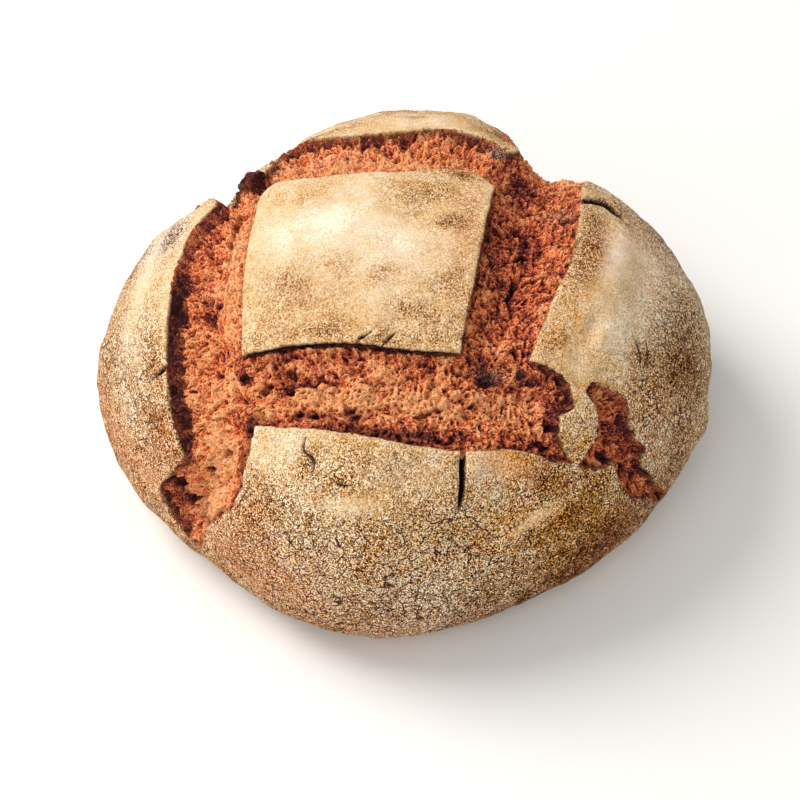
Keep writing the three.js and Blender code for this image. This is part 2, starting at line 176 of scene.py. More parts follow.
# ---- the map of the skin -------------------------------------------------------------------
def mean_profile():
    """Arc length from the crown, radius share and height down the mean profile."""
    a = np.linspace(0, math.pi / 2, 901)
    cap = np.sin(a) ** (2 / CROWN_POWER)
    cap_z = BELLY_Z + (HEIGHT - BELLY_Z) * np.cos(a).clip(0) ** (2 / DOME_POWER)
    low = BASE_RATIO + (1 - BASE_RATIO) * np.cos(a[1:])
    low_z = BELLY_Z * (1 - np.sin(a[1:]))
    rho = np.concatenate([cap, low, [0.0]])
    z = np.concatenate([cap_z, low_z, [0.0]])
    run = np.hypot(np.diff(rho) * MAP_RADIUS, np.diff(z))
    return np.concatenate([[0.0], np.cumsum(run)]), rho, z


ARC, RHO, UP = mean_profile()
FOOT_ARC, END_ARC = ARC[-2], ARC[-1]


def arc_at(uv):
    """How far down the skin from the crown, mm."""
    return np.hypot(uv[:, 0], uv[:, 1])


def skin(uv):
    """Places on the map to points of the smooth loaf, mm."""
    arc = arc_at(uv)
    turn = np.arctan2(uv[:, 1], uv[:, 0])
    rho = np.interp(arc, ARC, RHO)
    bulge = sum(c * np.cos(k * turn) + s * np.sin(k * turn) for k, c, s in OUTLINE)
    r = rho * (BELLY_RADIUS + bulge * rho * rho)
    x, y = r * np.cos(turn) + CENTRE[0], r * np.sin(turn) + CENTRE[1]
    return np.stack([x, y, np.interp(arc, ARC, UP)], axis=1)


def skin_normal(uv):
    e = 0.2
    du = skin(uv + (e, 0)) - skin(uv - (e, 0))
    dv = skin(uv + (0, e)) - skin(uv - (0, e))
    n = np.cross(du, dv)
    return n / np.linalg.norm(n, axis=1, keepdims=True)


# ---- unevenness ----------------------------------------------------------------------------
def smooth(t):
    t = np.clip(t, 0, 1)
    return t * t * (3 - 2 * t)


def lumps(uv, length, shift):
    """The slow crossed waves that the solid has too, about -1 to 1."""
    total = 0
    for k in range(6):
        way = 1.3 + 2.399963 * k + shift
        freq = 2 * math.pi / length * (0.75 + 0.13 * ((k * 5 + 2) % 6))
        along = uv[:, 0] * math.cos(way) + uv[:, 1] * math.sin(way)
        total = total + np.sin(freq * along + 1.7 * k * k + 3.1 * shift)
    return total / 3


def spread(uv, patches):
    """Soft patches added up: amount, place, half width, half length, way of the length."""
    total = np.zeros(len(uv))
    for amount, cu, cv, wide, long, way in patches:
        u, v = uv[:, 0] - cu, uv[:, 1] - cv
        a = (u * math.cos(way) + v * math.sin(way)) / long
        b = (v * math.cos(way) - u * math.sin(way)) / wide
        total += amount * np.exp(-a * a - b * b)
    return total


def drawn(cell, seed):
    """A repeatable draw from 0 to 1 for each cell of a lattice."""
    c = cell.astype(np.int64).astype(np.uint32)
    n = c[..., 0] * np.uint32(374761393) + c[..., 1] * np.uint32(668265263)
    n = n + c[..., 2] * np.uint32(2246822519) + np.uint32(seed * 97 + 13) * np.uint32(3266489917)
    n = (n ^ (n >> np.uint32(13))) * np.uint32(1274126177)
    n = (n ^ (n >> np.uint32(15))) * np.uint32(2654435761)
    return ((n ^ (n >> np.uint32(16))) & np.uint32(0xFFFFFF)) / float(0xFFFFFF)


def grain(p, size, seed):
    """Smooth unevenness from -1 to 1, with lumps about size mm across."""
    q = p / size + 1000.0
    low = np.floor(q)
    t = smooth(q - low)
    total = 0
    for corner in itertools.product((0, 1), repeat=3):
        share = np.prod(np.where(np.array(corner) == 1, t, 1 - t), axis=1)
        total = total + share * drawn(low + corner, seed)
    return total * 2 - 1


def ridges(p, size, seed):
    """Sharp crests of height 1 with hollows down to -1 between them."""
    return 1 - 2 * np.abs(grain(p, size, seed))


def bends(p, size, seed):
    """Unevenness of three draws, to bend a pattern's places by."""
    return np.stack([grain(p, size, seed + k) for k in range(3)], axis=1)


def flat_points(uv):
    return np.column_stack([uv, np.zeros(len(uv))])


def pores(p, size, seed, share):
    """Round pits: 1 at a pit's middle, 0 outside. share of the cells of size mm hold one."""
    q = p / size + 1000.0
    low = np.floor(q)
    best = np.zeros(len(p))
    for corner in itertools.product((-1, 0, 1), repeat=3):
        cell = low + corner
        mid = cell + np.stack([drawn(cell, seed + k) for k in (1, 2, 3)], axis=1)
        wide = 0.22 + 0.4 * drawn(cell, seed + 4) ** 2
        depth = 1 - np.linalg.norm(q - mid, axis=1) / wide
        best = np.maximum(best, np.where(drawn(cell, seed + 5) < share, depth, 0))
    return best


# ---- rims ----------------------------------------------------------------------------------
def curve(at, cuts=5):
    """A rounded line through places, as short straight runs."""
    p = np.array([at[0], *at, at[-1]], float)
    t = np.arange(cuts)[:, None] / cuts
    runs = []
    for a, b, c, d in zip(p, p[1:], p[2:], p[3:]):
        runs.append(0.5 * (2 * b + (c - a) * t + (2 * a - 5 * b + 4 * c - d) * t**2
                           + (3 * b - a - 3 * c + d) * t**3))
    return np.concatenate([*runs, p[-1:]])


def nearest(uv, line):
    """Distance to a line of straight runs, and the nearest place on it."""
    far = np.full(len(uv), 1e9)
    place = np.zeros_like(uv)
    for a, b in zip(line, line[1:]):
        d = b - a
        t = np.clip(((uv - a) @ d) / (d @ d), 0, 1)
        q = a + t[:, None] * d
        dist = ((uv - q) ** 2).sum(axis=1)
        nearer = dist < far
        far = np.where(nearer, dist, far)
        place[nearer] = q[nearer]
    return np.sqrt(far), place


def inside(uv, ring):
    odd = np.zeros(len(uv), bool)
    for a, b in zip(ring, np.roll(ring, -1, axis=0)):
        spans = (a[1] > uv[:, 1]) != (b[1] > uv[:, 1])
        if a[1] != b[1]:
            odd ^= spans & (uv[:, 0] < (b[0] - a[0]) * (uv[:, 1] - a[1]) / (b[1] - a[1]) + a[0])
    return odd


RIM_VALUES = ("step", "lip", "reach", "toast_and_shade", "rag")
RIM_BLEND = 2.5  # how near to each other two rims share their values, mm
GROUPS = [[dict(rim, line=curve(rim["at"])) for rim in group] for group in (RIMS, SQUARE, HOLE)]
RINGS = [np.concatenate([rim["line"][:-1] for rim in group]) for group in GROUPS]


def cuts_at(uv):
    """Against the cuts: d, the distance to the nearest rim, positive in a groove, the way into
    the groove, and the rims' own values near by."""
    rims = [rim for group in GROUPS for rim in group]
    far, places = zip(*[nearest(uv, rim["line"]) for rim in rims])
    far = np.array(far)
    least = far.min(axis=0)
    place = np.array(places)[far.argmin(axis=0), np.arange(len(uv))]
    share = np.exp((least - far) / RIM_BLEND)
    share /= share.sum(axis=0)
    mixed = {k: share.T @ np.array([rim[k] for rim in rims]) for k in RIM_VALUES}
    opened = (inside(uv, RINGS[0]) & ~inside(uv, RINGS[1])) | inside(uv, RINGS[2])
    d = np.where(opened, least, -least)
    way = (uv - place) * np.sign(d)[:, None]
    way /= np.maximum(np.linalg.norm(way, axis=1, keepdims=True), 1e-6)
    return d, way, mixed


def splits_at(uv):
    """How deep the narrow splits cut, mm."""
    total = np.zeros(len(uv))
    for at, deep, half in SPLITS:
        line = curve(at)
        far, _ = nearest(uv, line)
        end = np.minimum(np.hypot(*(uv - line[0]).T), np.hypot(*(uv - line[-1]).T))
        width = half * (0.35 + 0.65 * smooth(end / 5))
        total = np.maximum(total, deep * np.exp(-((far / width) ** 2)))
    return total


LATTICE_HALF = 215.0  # half the lattice's side: the skin down to the foot and a little more, mm
LATTICE_FAR = 60.0  # the distance given to places far from any cut, mm
CUTS_MIDDLE, CUTS_HALF = (10, 0), (165, 145)  # the part of the map that holds the cuts, mm


def coarse_distance():
    """The distance to the rims on a 1 mm lattice, to choose where a mesh is fine."""
    span = np.arange(-LATTICE_HALF, LATTICE_HALF + 1)
    uu, vv = np.meshgrid(span, span, indexing="ij")
    uv = np.stack([uu.ravel(), vv.ravel()], axis=1)
    d = np.full(len(uv), -LATTICE_FAR)
    close = (np.abs(uv - CUTS_MIDDLE) < CUTS_HALF).all(axis=1)
    d[close] = cuts_at(uv[close])[0]
    split = np.full(len(uv), LATTICE_FAR)
    for at, _, _ in SPLITS:
        split[close] = np.minimum(split[close], nearest(uv[close], curve(at))[0])
    return d.reshape(uu.shape), split.reshape(uu.shape)


LATTICE_D, LATTICE_SPLIT = coarse_distance()


def looked_up(uv, lattice):
    q = np.clip(uv + LATTICE_HALF, 0, 2 * LATTICE_HALF - 1.001)
    i = q.astype(int)
    t = q - i
    x, y = i[:, 0], i[:, 1]
    a = lattice[x, y] * (1 - t[:, 0]) + lattice[x + 1, y] * t[:, 0]
    b = lattice[x, y + 1] * (1 - t[:, 0]) + lattice[x + 1, y + 1] * t[:, 0]
    return a * (1 - t[:, 1]) + b * t[:, 1]


# ---- crust ---------------------------------------------------------------------------------
SIDE_ARC = 105  # how far down the skin the sides begin, mm
LOW_ARC = 172  # how far down the unevenness starts to fade toward the foot, mm
WALL_SPAN = 2.0  # width of mesh over a broken edge, mm
WALL_NOSE = 0.2  # how far the crust's edge stands out over its own broken side, mm
CRUST_PASSES = 9  # how often the crust's long edges may be halved
WALL_DEEP = 3.2  # how far the broken edge runs down behind the crumb, mm
TORN_DEEP = 3.2  # how far the crust is sunk where torn crumb stands over it, mm


def crust_size(uv):
    """Wanted length of a crust edge, mm."""
    arc = arc_at(uv)
    d = looked_up(uv, LATTICE_D)
    top = 1.3 + 1.2 * smooth((arc - 150) / 30) + 3.5 * smooth((arc - FOOT_ARC) / 12)
    size = np.where(d > 4, 4.0, top)
    rim = np.abs(d - 0.6)
    size = np.minimum(size, 0.62 + np.maximum(0, rim - 2.2) * 0.35)
    split = looked_up(uv, LATTICE_SPLIT)
    return np.minimum(size, 0.55 + np.maximum(0, split - 1.6) * 0.4)


def on_map(direction):
    arc = np.arccos(np.clip(direction[:, 2], -1, 1)) / math.pi * END_ARC
    turn = np.arctan2(direction[:, 1], direction[:, 0])
    return np.stack([arc * np.cos(turn), arc * np.sin(turn)], axis=1)


def coordinates(bm):
    return np.array([v.co for v in bm.verts], float)


def round_start(size_at, passes):
    """An icosphere whose edges are split until they are as short as size_at wants."""
    bm = bmesh.new()
    bmesh.ops.create_icosphere(bm, subdivisions=5, radius=1.0)
    for _ in range(passes):
        bm.verts.ensure_lookup_table()
        bm.verts.index_update()
        way = coordinates(bm)
        way /= np.linalg.norm(way, axis=1, keepdims=True)
        ends = np.array([(e.verts[0].index, e.verts[1].index) for e in bm.edges])
        points = skin(on_map(way))
        length = np.linalg.norm(points[ends[:, 0]] - points[ends[:, 1]], axis=1)
        mid = way[ends[:, 0]] + way[ends[:, 1]]
        mid /= np.linalg.norm(mid, axis=1, keepdims=True)
        long = length > 1.4 * size_at(on_map(mid))
        if not long.any():
            break
        edges = [e for e, pick in zip(bm.edges, long) if pick]
        bmesh.ops.subdivide_edges(bm, edges=edges, cuts=1)
        wide = [f for f in bm.faces if len(f.verts) > 3]
        bmesh.ops.triangulate(bm, faces=wide, quad_method="SHORT_EDGE")
        for v in bm.verts:
            v.co.normalize()
    return bm


def finished(bm, name, points, marks):
    """The bmesh as an object, its points in metres and inside the solid's box, with marks as
    attributes of its points."""
    mesh = bpy.data.meshes.new(name)
    bm.to_mesh(mesh)
    bm.free()
    held = np.clip(points * MM, cad_box[0], cad_box[1])
    mesh.vertices.foreach_set("co", held.astype(np.float32).ravel())
    for key, values in marks.items():
        layer = mesh.attributes.new(key, "FLOAT", "POINT")
        layer.data.foreach_set("value", np.asarray(values, np.float32))
    mesh.polygons.foreach_set("use_smooth", [True] * len(mesh.polygons))
    mesh.update()
    piece = bpy.data.objects.new(name, mesh)
    bpy.context.collection.objects.link(piece)
    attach(piece, "root")
    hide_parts("loaf")
    return piece


def ragged(uv, rag):
    """How far a torn rim wanders, mm."""
    p = flat_points(uv)
    torn = 0.75 * grain(p, 4.5, 3) + 0.5 * grain(p, 1.9, 4) + 0.4 * grain(p, 1.1, 7)
    return rag * torn + 0.12 * grain(p, 9.0, 5)


def plate_height(uv, d, lip):
    """Height of the crust over the smooth loaf."""
    arc = arc_at(uv)
    fade = 1 - smooth((arc - LOW_ARC) / 30)
    slow = CRUST_LUMP * lumps(uv, 46, 0.9) * smooth(-d / 14)
    slow += 0.35 * lumps(uv, 19, 1.7) * smooth(-d / 8)
    return (lip * np.exp(np.minimum(d, 0) / 7) + slow + spread(uv, SWELLS)) * fade


def make_crust():
    bm = round_start(crust_size, CRUST_PASSES)
    way = coordinates(bm)
    way /= np.linalg.norm(way, axis=1, keepdims=True)
    uv = on_map(way)
    arc = arc_at(uv)
    d, into, near = cuts_at(uv)
    dn = d + ragged(uv, near["rag"]) * np.exp(-np.abs(d) / 6)
    opened = dn > 0
    # the crust as far as its rim, with a rounded edge
    plate = plate_height(uv, np.minimum(dn, 0), near["lip"])
    p3 = skin(uv)
    fade_low = 1 - smooth((arc - (FOOT_ARC - 22)) / 14)
    flour = flour_cover(uv)
    rough = 0.5 + 1.3 * np.clip(0.75 - flour, 0, 1)
    fine = 0.22 * grain(p3, 5.0, 11) + 0.28 * rough * grain(p3, 2.6, 12)
    fine = (fine - 0.12 - 0.35 * smooth((arc - SIDE_ARC) / 30)) * fade_low
    split = splits_at(uv) * (dn < 0.5)
    plate += fine - 0.35 * smooth((dn + 1.3) / 1.3) - split - TORN_DEEP * torn_over(uv)
    # the broken edge, from the rim down to where the crumb starts
    reach = np.minimum(near["reach"], 0.5)
    t = np.clip(dn / WALL_SPAN, 0, 1)
    foot = crumb_height(uv, reach, near) - WALL_DEEP
    steep = 1 - (1 - t) ** 1.5
    wall = plate * (1 - steep) + foot * steep
    # then on down and under the crumb
    beyond = np.maximum(dn - WALL_SPAN, 0)
    floor = crumb_height(uv, d, near) - CRUMB_THICK * FLOOR_SHARE
    sunk = np.maximum(foot - 2.5 * beyond, floor)
    height = np.where(opened, np.where(t < 1, wall, sunk), plate)
    off = WALL_NOSE * np.sin(np.pi * np.clip(t / 0.3, 0, 1)) + reach * t ** 1.3
    shift = np.where(opened, (off - np.minimum(dn, WALL_SPAN)) * np.exp(-beyond / 4), 0)
    moved = uv + into * shift[:, None]
    points = skin(moved) + skin_normal(moved) * height[:, None]
    # torn, burnt rags of crust along the rims
    burnt = smooth((spread(uv, BURNT_PATCHES) + 0.35 * grain(p3, 1.6, 15) - 0.35) / 0.3)
    base = arc >= FOOT_ARC - 0.5
    points[base] = skin(uv[base])
    points[:, 2] = np.maximum(points[:, 2], 0)
    marks = dict(
        flour=flour,
        grit=grit_cover(uv, flour),
        rust=spread(uv, RUST_PATCHES),
        ash=spread(uv, ASH_PATCHES),
        broken=np.clip(smooth((dn + 0.2) / 0.6) + smooth((split - 0.3) / 0.9) + burnt, 0, 1),
        # broken edges and narrow splits are coloured dark: baked, and painted shade on shadowed rim
        # walls and inside the splits
        toast_and_shade=np.clip(near["toast_and_shade"] + smooth(split), 0, 1.2),
    )
    return finished(bm, "loaf_crust", points, marks)


# Patches of the crust and crumb: amount, place, half width, half length, way of the length.
# Where the flour lies thick (+) or was rubbed thin (-).
FLOUR_PATCHES = (
    # square
    (0.26, -32, 8, 12, 24, 0.4), (-0.04, -20, -8, 44, 44, 0.0), (0.1, -5, 0, 12, 26, 0.0),
    (-0.2, -47, -20, 5, 10, -0.5), (-0.12, -48, -31, 9, 13, 0.2), (-0.22, -11, -21, 3.5, 8, 0.9),
    (-0.14, -42, 24, 4, 6, 1.2), (-0.2, -34, -45, 4, 14, 0.1), (-0.22, 3, -37, 4, 10, -0.3),
    (-0.16, -2, -50, 4, 24, -0.05), (-0.3, 16, 7, 4, 7, 0.3), (-0.34, 21, 40, 4, 11, -0.1),
    (-0.2, 12, 26, 5, 7, 0.0), (-0.12, 25, 0, 6, 50, 1.5), (-0.16, 13, -25, 6, 9, 0.5),
    (-0.2, -62, -46, 5, 7, 0.0), (0.03, -25, -30, 12, 20, 0.0), (-0.08, 0, 24, 10, 16, 0.0),
    # back plate
    (-0.28, 6, 88, 3, 4, 0.0), (-0.36, 38, 86, 7, 9, 0.3), (-0.26, 50, 84, 8, 16, 1.2),
    (-0.04, -10, 84, 8, 40, 0.0), (-0.3, -48, 79, 3, 20, 0.1),
    # left plate
    (0.03, -114, -24, 14, 44, 1.6), (0.07, -107, 30, 8, 14, 1.5), (0.12, -114, 0, 6, 22, 1.3),
    (-0.34, -102, 26, 5, 9, 1.2), (-0.16, -106, -30, 5, 22, 1.5), (-0.25, -127, 30, 8, 14, 2.3),
    (-0.2, -136, -18, 9, 22, 1.8), (-0.3, -112, -61, 5, 10, 1.3), (-0.14, -123, -72, 12, 22, 2.0),
    # right plate
    (-0.44, 75, 4, 6, 18, 1.3), (0.18, 85, 4, 4, 14, 1.3), (-0.14, 78, 30, 5, 10, 1.3),
    (0.06, 66, -26, 7, 18, 1.3), (-0.16, 60, -46, 6, 8, 0.8), (0.12, 88, -34, 10, 18, 1.0),
    (-0.3, 98, -41, 3, 5, 0.9), (-0.36, 124, -22, 12, 20, 1.9), (-0.26, 112, -42, 9, 14, 1.0),
    (-0.06, 104, -62, 8, 16, 0.5), (-0.3, 137, -44, 12, 34, 1.8), (-0.14, 95, 40, 12, 22, 2.3),
    # the tongue between the torn places
    (0.42, 75, -76, 7, 10, 1.5),
    # front plate
    (0.1, -61, -92, 8, 12, 0.9), (0.1, -48, -104, 5, 12, -0.8), (-0.3, -41, -96, 3, 6, 1.0),
    (-0.26, -28, -106, 4, 5, 0.4), (-0.16, -12, -97, 7, 22, -0.1), (0.2, -24, -114, 5, 17, -0.15),
    (0.24, 30, -103, 3.5, 9, 1.5), (0.18, 42, -99, 8, 14, -0.2), (-0.34, 62, -107, 6, 9, 0.8),
    (0.5, 60, -121, 4, 15, 0.67), (-0.34, 69, -124, 4, 16, 0.67), (-0.1, 92, -116, 18, 30, 0.6),
    (-0.14, 22, -124, 5, 18, -0.3), (0.14, 14, -134, 4, 16, 0.1), (-0.26, 86, -104, 12, 16, 0.2),
    (-0.16, 60, -142, 14, 34, 0.4), (-0.42, 112, -124, 16, 40, 0.8), (-0.4, 84, -164, 12, 45, 0.7),
    (0.04, 30, -118, 16, 30, 0.0), (-0.08, 20, -138, 8, 30, 0.2), (0.1, -128, -90, 16, 28, 2.2),
    (0.16, -98, -137, 12, 24, 2.2), (0.06, -132, -66, 14, 26, 2.0), (0.1, -62, -152, 12, 30, 2.8),
    (0.05, 0, -168, 10, 50, 0.0), (-0.14, -75, -116, 9, 16, 0.7), (0.14, -92, -121, 5, 8, 0.7),
    (-0.08, 0, -162, 10, 50, 0.0), (0.1, 0, -146, 5, 36, 0.05), (-0.1, -100, -132, 10, 26, 0.8),
)
# Where the crust is baked redder than elsewhere.
RUST_PATCHES = (
    (0.5, -108, -72, 10, 20, 1.9), (0.35, 62, -100, 10, 14, 0.0), (0.55, -96, -132, 22, 50, 2.5),
    (0.55, -142, -66, 16, 40, 2.2), (0.4, -72, -112, 12, 14, 0.0), (0.4, -150, -20, 14, 34, 1.8),
    (0.3, -60, -150, 20, 40, 2.8), (0.5, 118, -126, 16, 40, 0.8), (0.3, 0, -178, 14, 80, 0.0),
    (0.3, 76, 4, 7, 18, 1.3), (0.3, 104, -62, 10, 20, 0.5), (0.5, 42, -99, 9, 16, -0.2),
    (0.25, 66, -26, 8, 24, 1.3), (0.3, 50, -126, 10, 26, 0.4), (0.2, -10, -136, 12, 40, 0.1),
    (0.25, 76, -76, 7, 12, 1.5), (0.2, 22, 0, 8, 40, 1.5),
)
# Where the flour looks grey (+) or golden (-).
ASH_PATCHES = (
    (0.55, -20, 0, 44, 44, 0.0), (0.5, 0, 86, 14, 50, 0.0), (1.1, -107, 30, 10, 18, 1.5),
    (-0.2, 96, -60, 30, 60, 0.6), (-1.0, 52, 84, 8, 12, 1.2), (0.25, 86, -34, 10, 18, 1.0),
    (0.3, -120, -20, 14, 40, 1.5), (-0.4, 44, -98, 10, 16, -0.2), (-0.7, 78, -122, 22, 40, 0.5),
    (-0.3, -12, -105, 12, 40, 0.0), (-0.3, 76, -76, 7, 12, 1.5), (-0.4, 66, -26, 8, 24, 1.3),
    (0.35, -116, 0, 14, 50, 1.5), (-0.4, 50, -124, 10, 26, 0.4), (-0.3, -4, 24, 16, 30, 0.0),
    (0.5, -118, 30, 12, 30, 2.0), (-0.3, -10, -136, 12, 40, 0.1), (-0.3, 100, -60, 12, 20, 0.9),
    (0.75, 105, 14, 20, 34, 1.45), (0.2, 100, -24, 12, 20, 1.4), (-0.9, 72, -78, 8, 12, 1.5),
    (0.35, -124, 32, 9, 16, 2.3), (0.5, -102, 26, 5, 9, 1.2), (0.5, 0, -100, 8, 14, 0.0),
    (-0.4, 38, 89, 9, 12, 0.3), (-0.4, 3, -129, 12, 34, 0.0), (0.6, -97, 31, 7, 14, 1.5),
    (0.6, 84, 6, 5, 12, 1.4), (0.4, 0, 44, 8, 8, 0.0), (0.5, 20, -170, 16, 60, 0.0),
    (0.4, 130, -110, 14, 50, 0.8),
)
# Where the crust's torn edge is burnt dark.
BURNT_PATCHES = (
    (1.2, -74, 54, 5, 12, 1.8), (0.7, -60, 73, 2.2, 9, 2.5), (0.5, -46, 79.5, 1.5, 8, 0.2),
    (0.5, 44, 65, 1.5, 5, 0.3), (0.6, 82, -91, 2, 7, 0.5),
)
# Where the flour lies in coarser (+) or finer (-) grains than elsewhere.
GRIT_PATCHES = (
    (0.8, 75, -76, 8, 12, 0.0), (-0.75, -116, 15, 16, 44, 1.5), (-0.4, 105, 14, 18, 30, 1.45),
    (0.5, 66, -10, 8, 40, 1.4), (0.2, 76, 0, 6, 26, 1.4), (0.4, 104, -60, 14, 26, 0.6),
    (0.4, 62, -104, 12, 20, 0.3), (-0.5, -61, -94, 9, 10, 0.0), (-0.9, 60, -121, 3, 15, 0.67),
    (-0.12, 0, 84, 12, 40, 0.0), (0.3, 120, -25, 12, 20, 1.9), (1.0, 0, -158, 20, 80, 0.0),
    (0.4, 56, -138, 16, 34, 0.5), (0.8, -6, -136, 14, 60, 0.0), (-0.6, -122, -96, 14, 30, 2.2),
    (0.5, 134, -36, 10, 30, 1.75), (-0.3, -112, -50, 14, 26, 1.7), (-0.15, -10, -110, 10, 40, 0.0),
    (-0.5, -24, -114, 4, 15, -0.15), (-0.4, -40, -24, 8, 10, 0.0),
)


def grit_cover(uv, flour):
    arc = arc_at(uv)
    bare = 0.32 + 1.0 * smooth((0.85 - flour) / 0.45) + 0.95 * smooth((arc - 80) / 50)
    return np.clip(bare + spread(uv, GRIT_PATCHES), 0.2, 2.7)


def flour_cover(uv):
    arc = arc_at(uv)
    cover = 0.74 - 0.17 * smooth((arc - 85) / 50) - 0.2 * smooth((arc - 135) / 50)
    cover = cover + 0.05 * lumps(uv, 60, 4.2) + 0.04 * lumps(uv, 24, 2.2)
    return np.clip(cover + spread(uv, FLOUR_PATCHES), 0, 1)


# ---- crumb ---------------------------------------------------------------------------------
CRUST_THICK = 1.1  # how thick the crust shows at its broken edges, mm
CRUMB_CELL = 2.2  # first grid, mm
CRUMB_CUTS = 5  # each cell's side is then cut this often
CRUMB_UNDER = 2.6  # how far the crumb reaches under the crust, mm
CRUMB_THICK = 12.0  # how deep the crumb's hidden underside lies, mm
CRUMB_LOWEST = 1.0  # how far over the table the crumb ends, mm
CRUMB_SPAN = (330, 290)  # length and width of the first grid, mm
CRUMB_MIDDLE = (14.0, -2.0)  # its middle on the map, mm
PIT_SHARE = 0.6  # how deep in the crumb a pit may reach
FLOOR_SHARE = 0.75  # how deep in the crumb the crust's hidden floor lies
LEFT_SIDE, FRONT_SIDE, TEAR_SIDE = -66, -48, 75.5  # where the pieces of the crumb meet, mm
# Where a groove's floor lies lower (-) or higher: height, place, half width, half length, way.
FLOORS = (
    (-3.2, -86, 64, 16, 26, 2.3), (-2.5, -79, 74, 7, 10, 0.0), (2.6, 70, 54, 13, 18, 0.8),
)
# Where the torn crumb stands out over the crust's rim.
TORN_PATCHES = (
    (1.3, -71, 57, 5.5, 12, 1.9),
)
# Where the crumb is smoother than elsewhere.
CALM_PATCHES = (
    (1.0, -114, 86, 14, 18, 0.0),
)
# Where the crumb is torn into spikes.
TATTERS = (
    (1.0, 56, 58, 10, 13, 0.8), (0.8, -72, 56, 8, 12, 1.9),
)


def torn_over(uv):
    p = flat_points(uv)
    return smooth((spread(uv, TORN_PATCHES) + 0.25 * grain(p, 3.5, 6) - 0.35) / 0.3)


def crumb_height(uv, d, near):
    """Height of the torn crumb over the smooth loaf, without its pores."""
    # the front cut is shallower, and the left cut's back end is steeper
    front = smooth((30 - uv[:, 0]) / 40 + 1) * smooth((-38 - uv[:, 1]) / 14)
    front *= smooth((uv[:, 0] + 78) / 16)
    steep = smooth((uv[:, 1] - 36) / 14) * smooth((-56 - uv[:, 0]) / 14)
    deep = GROOVE_DEPTH + (FRONT_DEPTH - GROOVE_DEPTH) * front - spread(uv, FLOORS)
    rim = near["step"] - near["lip"]
    run = np.clip(d / (GROOVE_HALF - 9.5 * steep), 0, 1) ** 1.2
    start, span = np.minimum(near["reach"], 0), np.maximum(near["reach"], 0.6)
    fall = 1 - (1 - np.clip((d - start) / span, 0, 1)) ** 1.8
    edge = near["lip"] - np.minimum(near["step"], CRUST_THICK)
    edge = edge - np.maximum(near["step"] - CRUST_THICK, 0) * fall
    return edge - (np.maximum(deep, rim + 1) - rim) * run + np.minimum(d, 0) * 0.5


# How bright the torn crumb is: it tore last, and baked least, along the middles of the cuts.
# Some patches are painted light and shade as well: darker on the sides of the cuts that a high
# rim shadows, paler on the sides that face the lamp.
TONE_LIGHT_AND_SHADE_PATCHES = (
    # left cut
    (-0.26, -92, 0, 7, 60, 1.45), (0.2, -73, 10, 7, 30, 1.4), (0.22, -75, -25, 7, 30, 1.6),
    (0.24, -88, -78, 8, 26, 1.7), (0.66, -98, -103, 9, 22, 0.8), (-0.16, -75, -98, 5, 14, 1.2),
    (-0.3, -122, -98, 6, 14, 1.2), (-0.2, -70, -58, 4, 8, 1.5), (-0.24, -76, 44, 8, 12, 0.0),
    (0.14, -84, -60, 6, 12, 1.5),
    # front cut
    (0.03, -20, -57, 4, 52, 0.0), (0.34, -42, -72, 6, 24, 0.05), (0.4, -4, -73, 6, 26, -0.05),
    (0.2, 40, -75, 7, 16, -0.1), (-0.28, 10, -89, 4, 60, -0.1), (-0.24, 60, -66, 5, 12, -0.7),
    (-0.24, 32, -64, 5, 8, 0.0), (-0.2, 64, -93, 4, 8, 0.0),
    # right cut
    (-0.2, 33, -10, 8, 50, 1.5), (-0.29, 54, 4, 14, 44, 1.4), (-0.22, 46, 44, 12, 16, 2.4),
    (-0.12, 66, 26, 7, 12, 1.4), (0.1, 40, 12, 4, 18, 1.5), (-0.26, 50, 53, 9, 15, -0.8),
    (0.2, 69, 40, 8, 10, 0.8),
    # back cut
    (0.04, 0, 66, 4, 60, 0.0), (0.24, -24, 56, 6, 36, 0.0), (-0.3, -68, 52, 6, 14, 2.3),
    (0.2, 16, 56, 7, 24, 0.1),
    # the hole
    (-0.26, 104, -78, 18, 40, -0.3),
)
# Where the crumb is coloured dark: baked dark, and painted shade under the square's front edge,
# beside its right edge and in the hole.
BAKED_AND_SHADE_PATCHES = (
    (0.8, -64, -78, 4, 6, 0.0), (0.6, -72, -90, 3, 12, 1.13), (0.7, -43, -78, 3, 4, 0.0),
    (0.6, -32, -80, 3, 4, 0.0), (0.7, -22, -80, 4, 4, 0.0), (0.5, -6, -88, 3, 26, -0.1),
    (0.12, -20, -56, 3, 44, 0.0), (0.3, 48, 53, 8, 15, -0.8), (0.12, 38, 10, 6, 34, 1.45),
    (0.12, 104, -78, 14, 34, -0.3), (0.4, -68, 52, 6, 14, 2.3), (0.5, -122, -98, 6, 12, 1.2),
    (0.5, -108, -110, 5, 6, 0.4), (0.4, 34, -60, 5, 10, 0.0),
)
# Big pores: place, radius, depth.
BIG_PORES = (
    (-61, -64, 2.2, 3.0), (-50, -67, 2.6, 3.4), (-49, -60, 1.8, 2.4), (-36, -62, 1.6, 2.2),
    (-46, -78, 2.0, 2.8), (-38, -79, 1.6, 2.4), (-24, -77, 1.9, 2.8), (-20, -80, 1.7, 2.4),
    (12, -78, 2.0, 2.8), (16, -70, 1.7, 2.2), (33, -65, 4.0, 3.6), (60, -92, 3.2, 3.4),
    (-70, -58, 3.0, 3.0), (-86, -88, 2.2, 2.6), (-98, -93, 2.6, 3.0), (-118, -92, 4.0, 3.6),
    (-119, -103, 3.0, 3.2), (47, 14, 2.4, 3.0), (48, 0, 2.0, 2.6), (54, 28, 2.2, 2.8),
    (61, -82, 2.4, 3.0), (92, -88, 3.6, 3.0), (109, -90, 3.0, 3.0),
)
